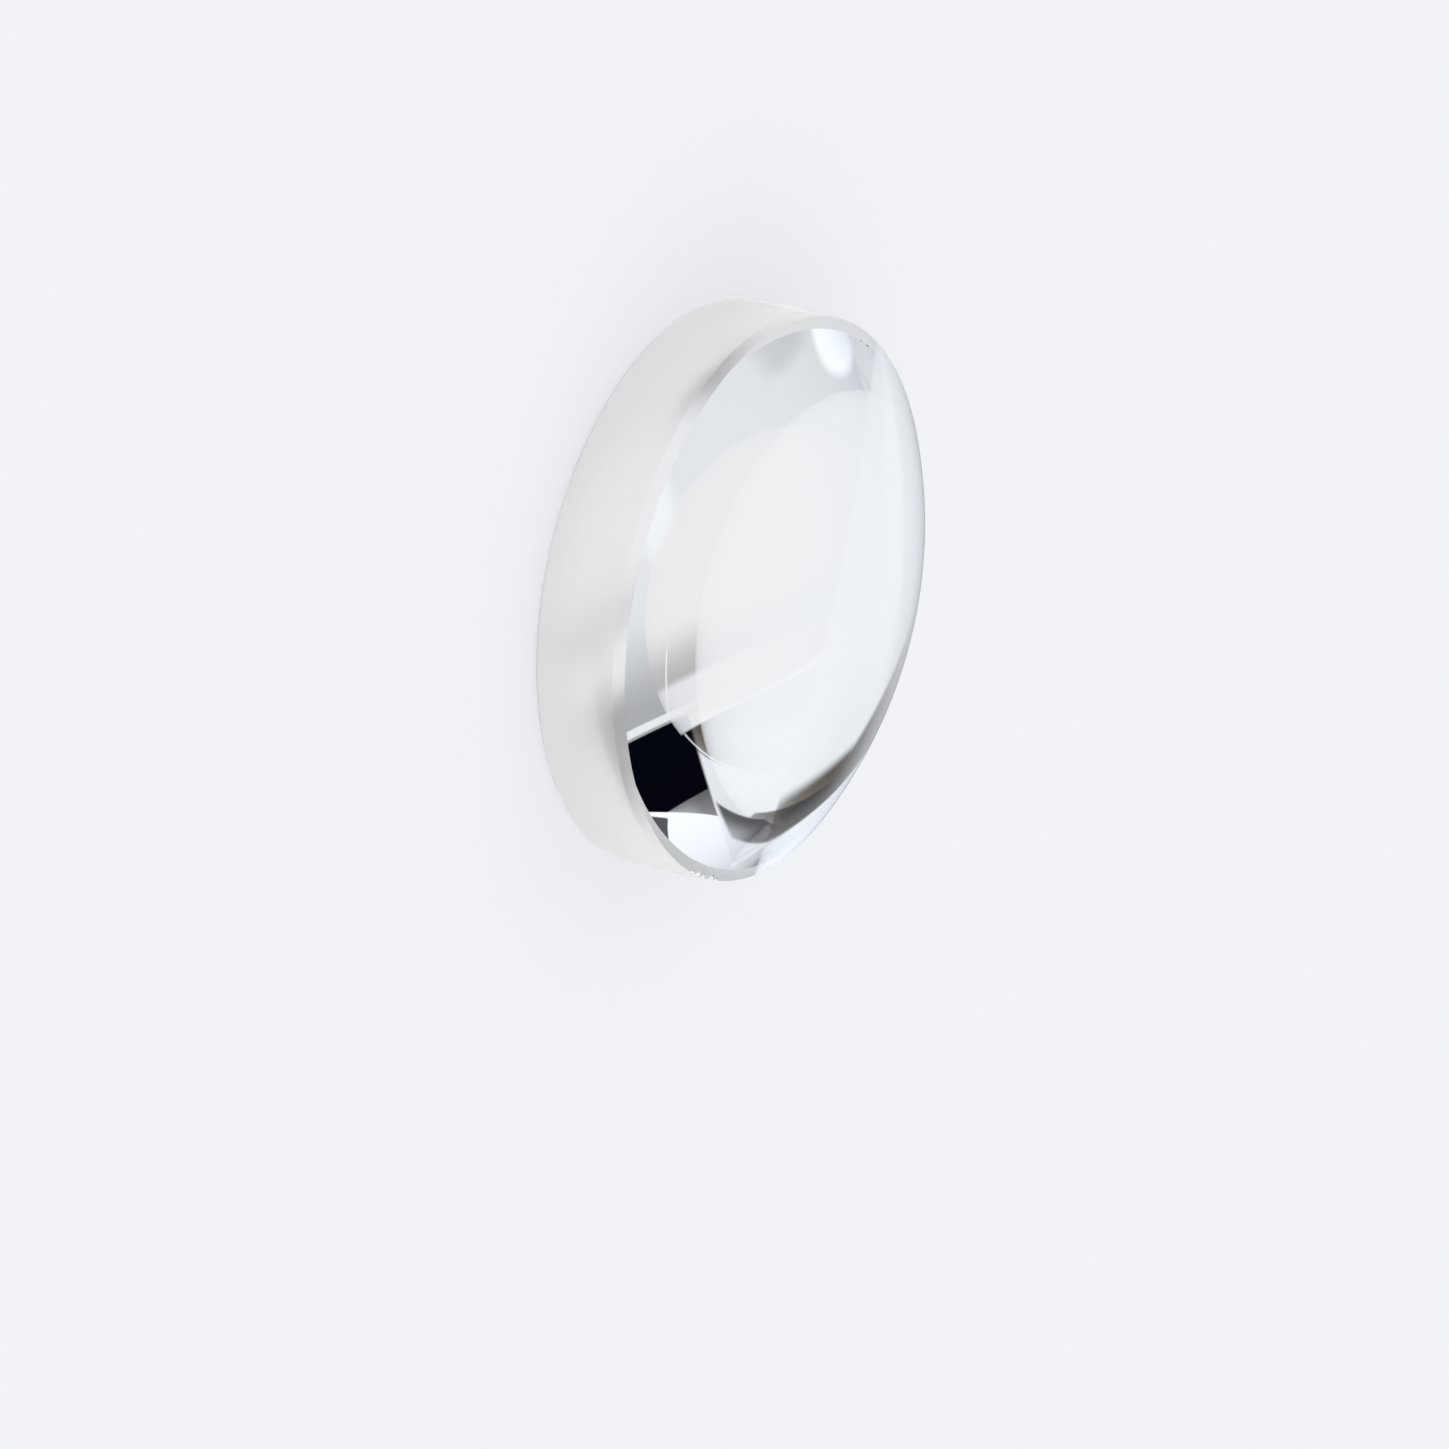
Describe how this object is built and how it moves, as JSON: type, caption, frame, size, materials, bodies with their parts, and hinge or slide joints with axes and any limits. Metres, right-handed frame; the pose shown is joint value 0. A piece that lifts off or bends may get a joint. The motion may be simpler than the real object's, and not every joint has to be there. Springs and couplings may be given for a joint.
{
  "type": "plano-convex lens",
  "caption": "Round plano-convex lens of clear high-index glass: polished dome, polished flat back, matt ground edge with a fine land.",
  "frame": {"origin": "centre of the flat face, on the optical axis", "axes": "+Z along the optical axis and out of the dome; +X and +Y across it"},
  "size_m": [0.0126, 0.0126, 0.0044],
  "materials": {
    "optical_glass": "polished faces, finely ground edge, land and bevel"
  },
  "bodies": {
    "root": {"plano_convex_lens": "optical_glass"}
  },
  "joints": []
}
